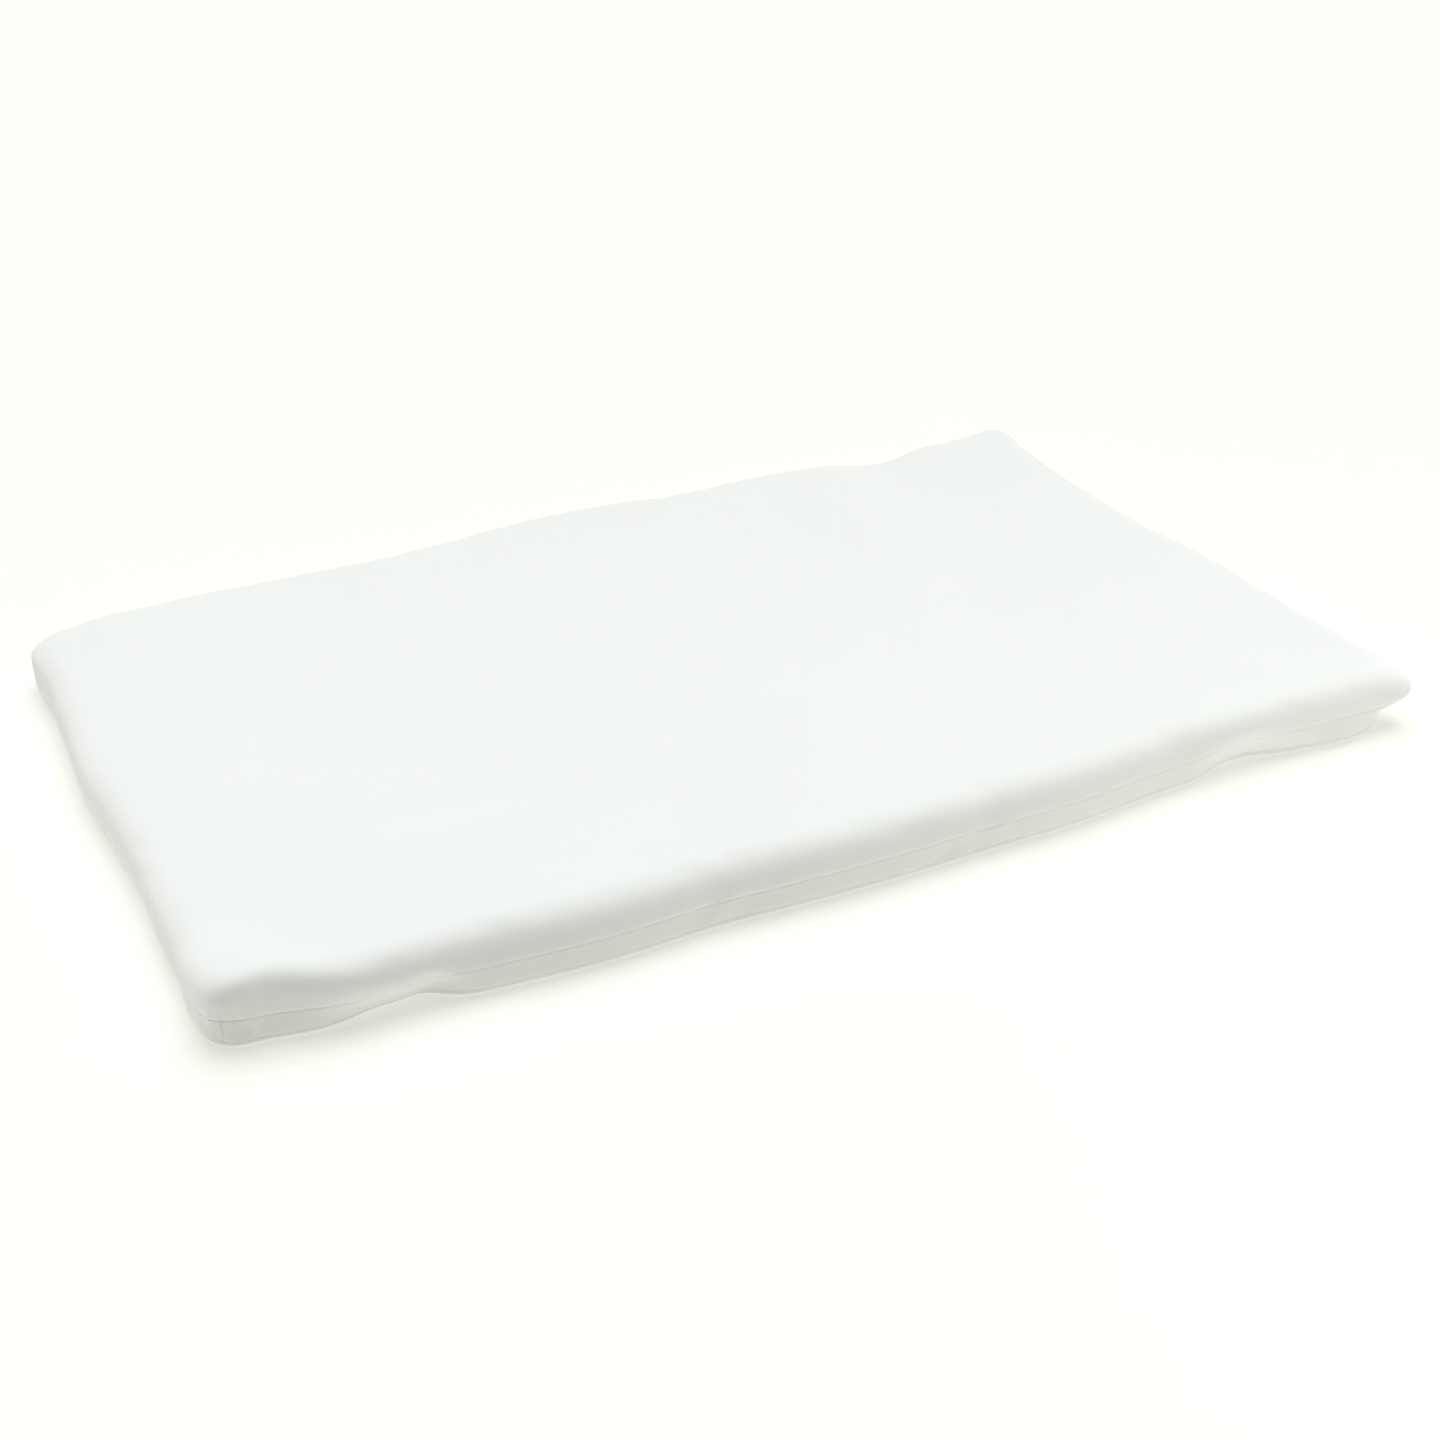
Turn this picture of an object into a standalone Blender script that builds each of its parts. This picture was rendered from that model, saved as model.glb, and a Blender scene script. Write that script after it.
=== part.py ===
"""A memory foam mattress, 2000 x 1200 x 100 mm, in a loose knitted cover that unzips at the foot end.

Inside out: a block of two foams, a thin sock of jersey over the block, and the cover. The cover's
upper half is one boxed panel. Its lower half is four border strips and a bottom panel. The halves
meet in a seam at mid height, which opens at the foot end with a coil zip.

Axes: X runs from the head end to the foot end, Y from the front side to the back side and Z up.
The origin is the middle of the underside. All sizes are in metres.
"""

from math import radians, sqrt

import bmesh
import bpy
from mathutils import Matrix, Vector

# Overall size
LENGTH = 2.000
WIDTH = 1.200
HEIGHT = 0.100

# Outline of the filled cover
PLAN_RADIUS = 0.060
TOP_RADIUS = 0.036
BOTTOM_RADIUS = 0.014
PLAN_SEGMENTS = 6
TOP_SEGMENTS = 5
BOTTOM_SEGMENTS = 3

# Cloth and foam
COVER_THICKNESS = 0.0020
LINER_THICKNESS = 0.0008
MEMORY_FOAM_THICKNESS = 0.040
FOAM_BOND = 0.0003

# Seams of the cover
SEAM_HEIGHT = 0.050
BOTTOM_SEAM_RISE = 0.0015
SEAM_TAPE_WIDTH = 0.012
SEAM_TAPE_THICKNESS = 0.0006

# Zip at the foot end
ZIP_END_MARGIN = 0.090
ZIP_SLOT_HEIGHT = 0.010
ZIP_TAPE_WIDTH = 0.013
ZIP_TAPE_THICKNESS = 0.0008
ZIP_TAPE_OVERRUN = 0.005
COIL_END_MARGIN = 0.0103
COIL_WIDTH = 0.0030
COIL_THICKNESS = 0.0024
COIL_SPACING = 0.0014
STOP_LENGTH = 0.003
STOP_PROUD = 0.0007
BOTTOM_STOP_LENGTH = 0.004

# Zip slider
SLIDER_LENGTH = 0.013
SLIDER_SHOULDER = 0.0088
SLIDER_TAIL = 0.0072
SLIDER_PLATE = 0.0016
SLIDER_WEB = 0.0008
SLIDER_CORNER = 0.0014
SLIDER_CLEARANCE = 0.0004
ARCH_REACH = 0.0032
ARCH_THICKNESS = 0.0010
ARCH_WIDTH = 0.0016

# Pull tab
PULL_LENGTH = 0.026
PULL_WIDTH = 0.0068
PULL_THICKNESS = 0.0010
PULL_PIN_RADIUS = 0.0008
PULL_EYE_LENGTH = 0.0034
PULL_EYE_WIDTH = 0.0040
PULL_END_RADIUS = 0.0026
PIN_SIDES = 16

# Mouth of the jersey sock
MOUTH_MARGIN = 0.100
MOUTH_HEM = 0.005
ELASTIC_WIDTH = 0.008

# Care label
LABEL_WIDTH = 0.040
LABEL_LENGTH = 0.036
LABEL_THICKNESS = 0.0005
LABEL_FROM_FOOT = 0.120

# Clearances
GAP = 0.0003
CUT_MARGIN = 0.020

# Worked out from the sizes above
ZIP_OPENING = WIDTH - 2 * ZIP_END_MARGIN
COIL_LENGTH = ZIP_OPENING - 2 * COIL_END_MARGIN
MOUTH_WIDTH = WIDTH - 2 * MOUTH_MARGIN
COVER_INNER_END = LENGTH / 2 - COVER_THICKNESS
ZIP_TAPE_X = COVER_INNER_END - GAP - ZIP_TAPE_THICKNESS / 2
COIL_X = ZIP_TAPE_X - ZIP_TAPE_THICKNESS / 2 - GAP - COIL_THICKNESS / 2
BACK_PLATE_X = COIL_X - COIL_THICKNESS / 2 - SLIDER_CLEARANCE - SLIDER_PLATE / 2
FRONT_PLATE_X = ZIP_TAPE_X + ZIP_TAPE_THICKNESS / 2 + SLIDER_CLEARANCE + SLIDER_PLATE / 2
LINER_END = BACK_PLATE_X - SLIDER_PLATE / 2 - SLIDER_CLEARANCE
WALL_ROOM = SEAM_TAPE_THICKNESS + 2 * GAP
LINER_LOW = Vector(
    (
        -LENGTH / 2 + COVER_THICKNESS + WALL_ROOM,
        -WIDTH / 2 + COVER_THICKNESS + WALL_ROOM,
        COVER_THICKNESS + GAP,
    )
)
LINER_HIGH = Vector((LINER_END, -LINER_LOW.y, HEIGHT - LINER_LOW.z))
FOAM_INSET = LINER_THICKNESS + GAP
FOAM_SPLIT = LINER_HIGH.z - FOAM_INSET - MEMORY_FOAM_THICKNESS
BOTTOM_SEAM_HEIGHT = BOTTOM_RADIUS + BOTTOM_SEAM_RISE
SLIDER_Y = -COIL_LENGTH / 2 + SLIDER_LENGTH / 2
SLIDER_FACE = FRONT_PLATE_X + SLIDER_PLATE / 2
PULL_X = GAP + max(SLIDER_FACE + PULL_PIN_RADIUS, LENGTH / 2 + PULL_THICKNESS / 2)
ARCH_INNER_X = PULL_X + PULL_PIN_RADIUS + GAP

OBJECT_NAME = "memory_foam_mattress"


def clear_scene():
    for obj in list(bpy.data.objects):
        bpy.data.objects.remove(obj, do_unlink=True)


def new_collection(name):
    collection = bpy.data.collections.new(name)
    bpy.context.scene.collection.children.link(collection)
    return collection


def new_object(name, bm, collection):
    """Puts a finished bmesh into a mesh object of that name."""
    mesh = bpy.data.meshes.new(name)
    bmesh.ops.recalc_face_normals(bm, faces=bm.faces)
    bm.to_mesh(mesh)
    bm.free()
    obj = bpy.data.objects.new(name, mesh)
    collection.objects.link(obj)
    return obj


def as_cutter(obj):
    obj.hide_render = True
    obj.display_type = "WIRE"
    return obj


def box_bmesh(low, high):
    """A box between two corners."""
    low = Vector(low)
    high = Vector(high)
    bm = bmesh.new()
    bmesh.ops.create_cube(bm, size=1.0)
    bmesh.ops.scale(bm, vec=high - low, verts=bm.verts)
    bmesh.ops.translate(bm, vec=(low + high) / 2, verts=bm.verts)
    return bm


def box(name, low, high, collection):
    return new_object(name, box_bmesh(low, high), collection)


def cutter_box(name, low, high):
    return as_cutter(box(name, low, high, CUTTERS))


def level_edges(bm, height):
    """The edges that lie at one height."""
    return [edge for edge in bm.edges if all(abs(v.co.z - height) < GAP / 10 for v in edge.verts)]


def upright_edges(bm):
    return [edge for edge in bm.edges if abs(edge.verts[0].co.z - edge.verts[1].co.z) > GAP]


def slab(name, low, high, shrink, collection):
    """A flat block with round corners in plan and round top and bottom edges. The radii are the
    cover's, less shrink, so that slabs inside one another keep parallel walls."""
    low = Vector(low)
    high = Vector(high)
    bm = box_bmesh(low, high)
    corners = (
        (upright_edges, PLAN_RADIUS, PLAN_SEGMENTS),
        (lambda b: level_edges(b, high.z), TOP_RADIUS, TOP_SEGMENTS),
        (lambda b: level_edges(b, low.z), BOTTOM_RADIUS, BOTTOM_SEGMENTS),
    )
    for pick, radius, segments in corners:
        bmesh.ops.bevel(
            bm,
            geom=pick(bm),
            offset=radius - shrink,
            segments=segments,
            profile=0.5,
            affect="EDGES",
        )
    return new_object(name, bm, collection)


def cover_slab(name, inset, collection):
    """The cover's outer form, with every face moved inwards by inset."""
    low = (-LENGTH / 2 + inset, -WIDTH / 2 + inset, inset)
    high = (LENGTH / 2 - inset, WIDTH / 2 - inset, HEIGHT - inset)
    return slab(name, low, high, inset, collection)


def liner_slab(name, inset, collection):
    """The sock's outer form, with every face moved inwards by inset."""
    step = Vector((inset, inset, inset))
    return slab(name, LINER_LOW + step, LINER_HIGH - step, inset, collection)


def add_boolean(obj, other, operation):
    modifier = obj.modifiers.new(other.name, "BOOLEAN")
    modifier.operation = operation
    modifier.solver = "EXACT"
    modifier.object = other
    return obj


def keep(obj, region):
    return add_boolean(obj, region, "INTERSECT")


def cut(obj, cutter):
    return add_boolean(obj, cutter, "DIFFERENCE")


def join(obj, other):
    return add_boolean(obj, as_cutter(other), "UNION")


def band(name, bottom, top):
    """A cutter that holds everything between two heights."""
    reach = LENGTH / 2 + CUT_MARGIN
    side = WIDTH / 2 + CUT_MARGIN
    return cutter_box(name, (-reach, -side, bottom), (reach, side, top))


def half_box(name, direction):
    """A cutter that holds the half of the mattress on the side of direction."""
    reach = Vector((LENGTH, WIDTH, 0.0)) / 2 + Vector((CUT_MARGIN, CUT_MARGIN, 0.0))
    low = Vector((-reach.x, -reach.y, -CUT_MARGIN))
    high = Vector((reach.x, reach.y, HEIGHT + CUT_MARGIN))
    for axis in range(2):
        if direction[axis] > 0:
            low[axis] = 0.0
        elif direction[axis] < 0:
            high[axis] = 0.0
    return cutter_box(name, low, high)


def corner_wedge(name, direction):
    """A square prism turned 45 degrees. Its point lies on the mattress's middle line and it opens
    towards direction, so that it mitres one side of the cover at its two round corners."""
    centre_x = LENGTH / 2 - PLAN_RADIUS
    centre_y = WIDTH / 2 - PLAN_RADIUS
    tip = (centre_x - centre_y) * (-1 if direction.y else 1) + GAP / sqrt(2)
    side = 2 * (LENGTH + WIDTH)
    bm = box_bmesh((-side / 2, -side / 2, -CUT_MARGIN), (side / 2, side / 2, HEIGHT + CUT_MARGIN))
    bmesh.ops.rotate(bm, verts=bm.verts, cent=(0, 0, 0), matrix=Matrix.Rotation(radians(45), 3, "Z"))
    bmesh.ops.translate(bm, verts=bm.verts, vec=direction * (tip + side / sqrt(2)))
    return as_cutter(new_object(name, bm, CUTTERS))


def material(name, colour, roughness, metallic=0.0):
    made = bpy.data.materials.new(name)
    made.use_nodes = True
    shader = made.node_tree.nodes["Principled BSDF"]
    shader.inputs["Base Color"].default_value = (*colour, 1.0)
    shader.inputs["Roughness"].default_value = roughness
    shader.inputs["Metallic"].default_value = metallic
    made.diffuse_color = (*colour, 1.0)
    return made


def finish(obj, made):
    obj.data.materials.clear()
    obj.data.materials.append(made)
    return obj


def knit_white():
    return material("knit_white", (0.86, 0.87, 0.84), 0.90)


def tricot_white():
    return material("tricot_white", (0.80, 0.81, 0.79), 0.85)


def memory_foam_cream():
    return material("memory_foam_cream", (0.85, 0.80, 0.64), 0.95)


def support_foam_grey():
    return material("support_foam_grey", (0.62, 0.64, 0.66), 0.95)


def jersey_white():
    return material("jersey_white", (0.82, 0.82, 0.80), 0.92)


def woven_tape_white():
    return material("woven_tape_white", (0.78, 0.78, 0.76), 0.80)


def nylon_white():
    return material("nylon_white", (0.80, 0.80, 0.78), 0.35)


def nickel():
    return material("nickel", (0.62, 0.61, 0.58), 0.28, 1.0)


def satin_label():
    return material("satin_label", (0.88, 0.88, 0.87), 0.45)


def make_support_foam(foam):
    """The firm lower layer, up to the bond line."""
    obj = liner_slab("support_foam_core", FOAM_INSET, PARTS)
    keep(obj, band("core_region", -CUT_MARGIN, FOAM_SPLIT - FOAM_BOND))
    return finish(obj, foam)


def make_memory_foam(foam):
    """The slow upper layer, with the round top edge that the taut cover gives it."""
    obj = liner_slab("memory_foam_layer", FOAM_INSET, PARTS)
    keep(obj, band("memory_region", FOAM_SPLIT, HEIGHT + CUT_MARGIN))
    return finish(obj, foam)


def mouth_corners(inset):
    """Two opposite corners of the sock's mouth in the foot end's flat wall, moved in by inset."""
    half = MOUTH_WIDTH / 2 - inset
    bottom = LINER_LOW.z + BOTTOM_RADIUS + MOUTH_HEM + inset
    top = LINER_HIGH.z - TOP_RADIUS - MOUTH_HEM - inset
    return (LINER_END - LINER_THICKNESS, -half, bottom), (LINER_END, half, top)


def make_liner(cloth):
    """The jersey sock: a thin closed skin round the foam, open at its mouth."""
    obj = liner_slab("inner_liner", 0.0, PARTS)
    cut(obj, as_cutter(liner_slab("liner_hollow", LINER_THICKNESS, CUTTERS)))
    low, high = mouth_corners(0.0)
    low = (low[0] - GAP, low[1], low[2])
    high = (high[0] + GAP, high[1], high[2])
    cut(obj, cutter_box("liner_mouth", low, high))
    return finish(obj, cloth)


def make_mouth_elastic(cloth):
    """The flat elastic that is sewn round the mouth of the sock."""
    obj = box("liner_mouth_elastic", *mouth_corners(GAP), PARTS)
    low, high = mouth_corners(GAP + ELASTIC_WIDTH)
    low = (low[0] - CUT_MARGIN, low[1], low[2])
    high = (high[0] + CUT_MARGIN, high[1], high[2])
    cut(obj, cutter_box("elastic_opening", low, high))
    return finish(obj, cloth)


def make_top_panel(cloth, hollow, slot):
    """The boxed upper half of the cover, down to the seam at mid height."""
    obj = cover_slab("cover_top_panel", 0.0, PARTS)
    keep(obj, band("top_panel_region", SEAM_HEIGHT + GAP / 2, HEIGHT + CUT_MARGIN))
    cut(obj, hollow)
    cut(obj, slot)
    return finish(obj, cloth)


def make_borders(cloth, hollow, slot):
    """The four border strips of the lower half, mitred at the round corners."""
    strips = band("border_region", BOTTOM_SEAM_HEIGHT + GAP / 2, SEAM_HEIGHT - GAP / 2)
    sides = {
        "front": Vector((0, -1, 0)),
        "back": Vector((0, 1, 0)),
        "left": Vector((-1, 0, 0)),
        "right": Vector((1, 0, 0)),
    }
    for side, direction in sides.items():
        obj = cover_slab("cover_border_" + side, 0.0, PARTS)
        keep(obj, strips)
        cut(obj, hollow)
        keep(obj, half_box(side + "_half", direction))
        keep(obj, corner_wedge(side + "_wedge", direction))
        if side == "right":
            cut(obj, slot)
        finish(obj, cloth)


def make_bottom_panel(cloth, hollow):
    """The panel that rests on the bed base, turned up round the bottom edge."""
    obj = cover_slab("cover_bottom_panel", 0.0, PARTS)
    keep(obj, band("bottom_panel_region", -CUT_MARGIN, BOTTOM_SEAM_HEIGHT - GAP / 2))
    cut(obj, hollow)
    return finish(obj, cloth)


def make_seam_tape(name, height, cloth):
    """The tape sewn over the inside of a seam all the way round the cover."""
    obj = cover_slab(name, COVER_THICKNESS + GAP, PARTS)
    keep(obj, band(name + "_region", height - SEAM_TAPE_WIDTH / 2, height + SEAM_TAPE_WIDTH / 2))
    inside = COVER_THICKNESS + GAP + SEAM_TAPE_THICKNESS
    cut(obj, as_cutter(cover_slab(name + "_hollow", inside, CUTTERS)))
    return finish(obj, cloth)


def make_mid_seam_tape(cloth):
    """The seam tape at mid height, which ends at the two ends of the zip."""
    obj = make_seam_tape("mid_seam_tape", SEAM_HEIGHT, cloth)
    half = ZIP_OPENING / 2 + ZIP_TAPE_OVERRUN + GAP
    low = (LINER_END, -half, 0.0)
    high = (LENGTH / 2, half, HEIGHT)
    return cut(obj, cutter_box("zip_gap_in_tape", low, high))


def zip_side(name, inner, width, centre_x, thickness, start, end, cloth):
    """A straight strip of the zip. Width is measured away from the zip's centre line, and a
    negative one is below it."""
    edges = sorted((SEAM_HEIGHT + inner, SEAM_HEIGHT + inner + width))
    low = (centre_x - thickness / 2, start, edges[0])
    high = (centre_x + thickness / 2, end, edges[1])
    return finish(box(name, low, high, PARTS), cloth)


def make_zip(tape_cloth, nylon):
    """Two woven tapes, each with its coil on the inner face, and the stops at the coils' ends."""
    tape_end = ZIP_OPENING / 2 + ZIP_TAPE_OVERRUN
    coil_end = COIL_LENGTH / 2
    stop_width = COIL_WIDTH + STOP_PROUD
    stop_thickness = COIL_THICKNESS + STOP_PROUD
    stop_x = COIL_X - STOP_PROUD / 2
    for side, sign in (("upper", 1), ("lower", -1)):
        inner = sign * COIL_SPACING / 2
        strips = (
            ("zip_tape_", ZIP_TAPE_WIDTH, ZIP_TAPE_X, ZIP_TAPE_THICKNESS, -tape_end, tape_end, tape_cloth),
            ("zip_coil_", COIL_WIDTH, COIL_X, COIL_THICKNESS, -coil_end, coil_end, nylon),
            (
                "zip_top_stop_",
                stop_width,
                stop_x,
                stop_thickness,
                -coil_end - GAP - STOP_LENGTH,
                -coil_end - GAP,
                nylon,
            ),
        )
        for name, width, centre_x, thickness, start, end, cloth in strips:
            zip_side(name + side, inner, sign * width, centre_x, thickness, start, end, cloth)
    start = coil_end + GAP
    end = start + BOTTOM_STOP_LENGTH
    edge = COIL_SPACING / 2 + stop_width
    zip_side("zip_bottom_stop", -edge, 2 * edge, stop_x, stop_thickness, start, end, nylon)


def slider_plate(name, centre_x, collection):
    """A slider plate with round corners, broad at the shoulder that meets the open coils and
    narrower at the tail."""
    bm = box_bmesh(
        (centre_x - SLIDER_PLATE / 2, SLIDER_Y - SLIDER_LENGTH / 2, SEAM_HEIGHT - SLIDER_SHOULDER / 2),
        (centre_x + SLIDER_PLATE / 2, SLIDER_Y + SLIDER_LENGTH / 2, SEAM_HEIGHT + SLIDER_SHOULDER / 2),
    )
    for vert in bm.verts:
        if vert.co.y > SLIDER_Y:
            vert.co.z = SEAM_HEIGHT + (vert.co.z - SEAM_HEIGHT) * SLIDER_TAIL / SLIDER_SHOULDER
    through = [e for e in bm.edges if abs(e.verts[0].co.x - e.verts[1].co.x) > SLIDER_PLATE / 2]
    bmesh.ops.bevel(bm, geom=through, offset=SLIDER_CORNER, segments=3, profile=0.5, affect="EDGES")
    return new_object(name, bm, collection)


def make_slider(metal):
    """Front and back plates joined by the web between the coils, and the arch for the pull."""
    sink = SLIDER_PLATE / 4
    obj = slider_plate("zip_slider", FRONT_PLATE_X, PARTS)
    join(obj, slider_plate("slider_back_plate", BACK_PLATE_X, CUTTERS))
    web_end = SLIDER_LENGTH / 2 - SLIDER_CORNER
    web = box(
        "slider_web",
        (BACK_PLATE_X, SLIDER_Y - web_end, SEAM_HEIGHT - SLIDER_WEB / 2),
        (FRONT_PLATE_X, SLIDER_Y + web_end, SEAM_HEIGHT + SLIDER_WEB / 2),
        CUTTERS,
    )
    join(obj, web)
    arch = box(
        "slider_arch",
        (SLIDER_FACE - sink, SLIDER_Y - ARCH_REACH, SEAM_HEIGHT - ARCH_WIDTH / 2),
        (ARCH_INNER_X + ARCH_THICKNESS, SLIDER_Y + ARCH_REACH, SEAM_HEIGHT + ARCH_WIDTH / 2),
        CUTTERS,
    )
    tunnel_end = ARCH_REACH - ARCH_THICKNESS
    tunnel = cutter_box(
        "arch_tunnel",
        (SLIDER_FACE, SLIDER_Y - tunnel_end, SEAM_HEIGHT - ARCH_WIDTH),
        (ARCH_INNER_X, SLIDER_Y + tunnel_end, SEAM_HEIGHT + ARCH_WIDTH),
    )
    join(obj, cut(arch, tunnel))
    return finish(obj, metal)


def make_pull_tab(metal):
    """A flat tab with an eye. The bar across the end of the eye is the pin that turns under the
    slider's arch. The object's origin lies on that pin, and the tab lies flat towards the front."""
    bm = box_bmesh(
        (-PULL_THICKNESS / 2, -PULL_LENGTH, -PULL_WIDTH / 2),
        (PULL_THICKNESS / 2, 0.0, PULL_WIDTH / 2),
    )
    end = [
        e
        for e in bm.edges
        if abs(e.verts[0].co.x - e.verts[1].co.x) > PULL_THICKNESS / 2 and e.verts[0].co.y < -PULL_LENGTH / 2
    ]
    bmesh.ops.bevel(bm, geom=end, offset=PULL_END_RADIUS, segments=5, profile=0.5, affect="EDGES")
    obj = new_object("zip_pull_tab", bm, PARTS)
    eye = cutter_box(
        "pull_eye",
        (-PULL_THICKNESS, -PULL_PIN_RADIUS - PULL_EYE_LENGTH, -PULL_EYE_WIDTH / 2),
        (PULL_THICKNESS, PULL_PIN_RADIUS + CUT_MARGIN / 10, PULL_EYE_WIDTH / 2),
    )
    bm = bmesh.new()
    bmesh.ops.create_cone(
        bm,
        cap_ends=True,
        segments=PIN_SIDES,
        radius1=PULL_PIN_RADIUS,
        radius2=PULL_PIN_RADIUS,
        depth=PULL_WIDTH,
    )
    pin = new_object("pull_pin", bm, CUTTERS)
    cut(obj, eye)
    join(obj, pin)
    for piece in (obj, eye, pin):
        piece.location = (PULL_X, SLIDER_Y, SEAM_HEIGHT)
    return finish(obj, metal)


def make_care_label(cloth):
    """A blank sewn-in label that hangs from the mid seam on the back side."""
    right = LENGTH / 2 - LABEL_FROM_FOOT
    face = WIDTH / 2 + GAP
    low = (right - LABEL_WIDTH, face, SEAM_HEIGHT - LABEL_LENGTH)
    high = (right, face + LABEL_THICKNESS, SEAM_HEIGHT)
    return finish(box("care_label", low, high, PARTS), cloth)


def build():
    knit = knit_white()
    tricot = tricot_white()
    jersey = jersey_white()
    woven = woven_tape_white()
    nylon = nylon_white()
    metal = nickel()
    make_support_foam(support_foam_grey())
    make_memory_foam(memory_foam_cream())
    make_liner(jersey)
    make_mouth_elastic(woven)
    hollow = as_cutter(cover_slab("cover_hollow", COVER_THICKNESS, CUTTERS))
    slot = cutter_box(
        "zip_slot",
        (LINER_END, -ZIP_OPENING / 2, SEAM_HEIGHT - ZIP_SLOT_HEIGHT / 2),
        (LENGTH / 2 + CUT_MARGIN, ZIP_OPENING / 2, SEAM_HEIGHT + ZIP_SLOT_HEIGHT / 2),
    )
    make_top_panel(knit, hollow, slot)
    make_borders(knit, hollow, slot)
    make_bottom_panel(tricot, hollow)
    make_mid_seam_tape(woven)
    make_seam_tape("bottom_seam_tape", BOTTOM_SEAM_HEIGHT, woven)
    make_zip(woven, nylon)
    make_slider(metal)
    make_pull_tab(metal)
    make_care_label(satin_label())


clear_scene()
PARTS = new_collection(OBJECT_NAME)
CUTTERS = new_collection("cutters")
build()
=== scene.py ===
# %% [markdown]
# # A memory foam mattress in a loose knitted cover
#
# The mattress is two blocks of foam glued together, a thin jersey sock round them, and a white
# knitted cover that zips open at the foot end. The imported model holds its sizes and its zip.
# This lesson gives it its looks: soft shapes, cloth, foam, thread and metal, piece by piece.
# The first step loads the model and keeps its box, so that nothing here outgrows it.

# %% Load the frame
import math

import bmesh
import bpy
import numpy as np
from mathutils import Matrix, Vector


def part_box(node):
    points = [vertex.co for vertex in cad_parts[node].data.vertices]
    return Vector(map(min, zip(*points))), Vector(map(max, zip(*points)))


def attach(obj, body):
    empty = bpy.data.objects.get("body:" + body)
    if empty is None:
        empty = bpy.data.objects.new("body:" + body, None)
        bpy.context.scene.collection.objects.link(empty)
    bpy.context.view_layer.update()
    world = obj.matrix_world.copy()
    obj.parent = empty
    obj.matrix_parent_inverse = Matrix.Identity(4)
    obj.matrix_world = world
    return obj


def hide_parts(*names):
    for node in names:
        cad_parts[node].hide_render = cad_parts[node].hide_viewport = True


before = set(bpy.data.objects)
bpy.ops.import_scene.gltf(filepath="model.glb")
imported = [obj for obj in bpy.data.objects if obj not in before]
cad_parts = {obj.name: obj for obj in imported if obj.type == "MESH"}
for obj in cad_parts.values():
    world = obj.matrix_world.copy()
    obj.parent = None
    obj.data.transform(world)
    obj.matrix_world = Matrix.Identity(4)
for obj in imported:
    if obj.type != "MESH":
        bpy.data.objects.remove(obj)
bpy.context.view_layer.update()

MM = 0.001

# %% [markdown]
# ## Sizes
#
# The overall size comes from the frame. What the cover adds to it, such as the roll of its edge and
# the heights of its seams, is read from the nodes' boxes or named here, in metres. The zip's slot is
# `ZIP_SLOT` high, and it closes between the two distances from the middle in `SLOT_CLOSES`.

# %% Read the sizes of the frame
SLAB_LOW = np.array(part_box("cover_bottom_panel")[0])
SLAB_HIGH = np.array(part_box("cover_top_panel")[1])
HALF_LENGTH = (SLAB_HIGH[0] - SLAB_LOW[0]) / 2
HALF_WIDTH = (SLAB_HIGH[1] - SLAB_LOW[1]) / 2
CORNER = 60 * MM
TOP_ROLL = 36 * MM
FOOT_ROLL = 14 * MM
CLOTH = 2.0 * MM
MID_SEAM = sum(c.z for c in (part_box("cover_top_panel")[0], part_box("cover_border_front")[1])) / 2
FOOT_SEAM = sum(c.z for c in (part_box("cover_bottom_panel")[1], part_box("cover_border_front")[0])) / 2
ZIP_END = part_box("zip_bottom_stop")[0].y
ZIP_SLOT = 10 * MM
SLOT_CLOSES = (0.500, 0.512)
print(f"slab {2 * HALF_LENGTH:.3f} x {2 * HALF_WIDTH:.3f} x {SLAB_HIGH[2]:.3f}, mid seam at {MID_SEAM:.4f}")

# %% [markdown]
# ## One helper for shader nodes, one for colours
#
# Every finish below is a small network of shader nodes. `add` makes a node, sets its settings and
# fills its inputs, and an input that is another node's output is linked. `linear` turns an sRGB hex
# value into the linear numbers that a shader works with. What most finishes share is written once
# here too: fine noise, the flat cloth's coordinates, a colour between two, and a bump.

# %% Helpers for materials
def linear(code):
    """The linear red, green, blue and alpha of an sRGB hex colour."""
    value = np.array([int(code[i:i + 2], 16) for i in (1, 3, 5)]) / 255
    value = np.where(value <= 0.04045, value / 12.92, ((value + 0.055) / 1.055) ** 2.4)
    return (*value.tolist(), 1.0)


def add(tree, kind, inputs=None, **settings):
    """A new node of that kind. An input is a number, a colour, or the output that feeds it."""
    node = tree.nodes.new("ShaderNode" + kind)
    for name, value in settings.items():
        setattr(node, name, value)
    for key, value in (inputs or {}).items():
        if isinstance(value, bpy.types.NodeSocket):
            tree.links.new(value, node.inputs[key])
        else:
            node.inputs[key].default_value = value
    return node


def maths(tree, operation, first, second=0.0):
    """The output of one sum on numbers or outputs."""
    return add(tree, "Math", {0: first, 1: second}, operation=operation).outputs[0]


def new_material(name, **uniform):
    """An empty material with a Principled shader. What is the same all over is set on its sockets."""
    material = bpy.data.materials.new(name)
    material.use_nodes = True
    shader = material.node_tree.nodes["Principled BSDF"]
    for key, value in uniform.items():
        shader.inputs[key.replace("_", " ")].default_value = value
    return material, material.node_tree, shader


def noise(tree, grain, detail=2.0):
    """Noise with a grain of that many metres, in the object's own space."""
    spot = add(tree, "TexCoord").outputs["Object"]
    return add(tree, "TexNoise", {"Vector": spot, "Scale": 1 / grain, "Detail": detail}).outputs[0]


def flat_cloth(tree):
    """The two coordinates of the flat cloth, in metres, from the piece's own UV map."""
    flat = add(tree, "UVMap", uv_map="cloth").outputs[0]
    return add(tree, "SeparateXYZ", {0: flat}).outputs


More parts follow.
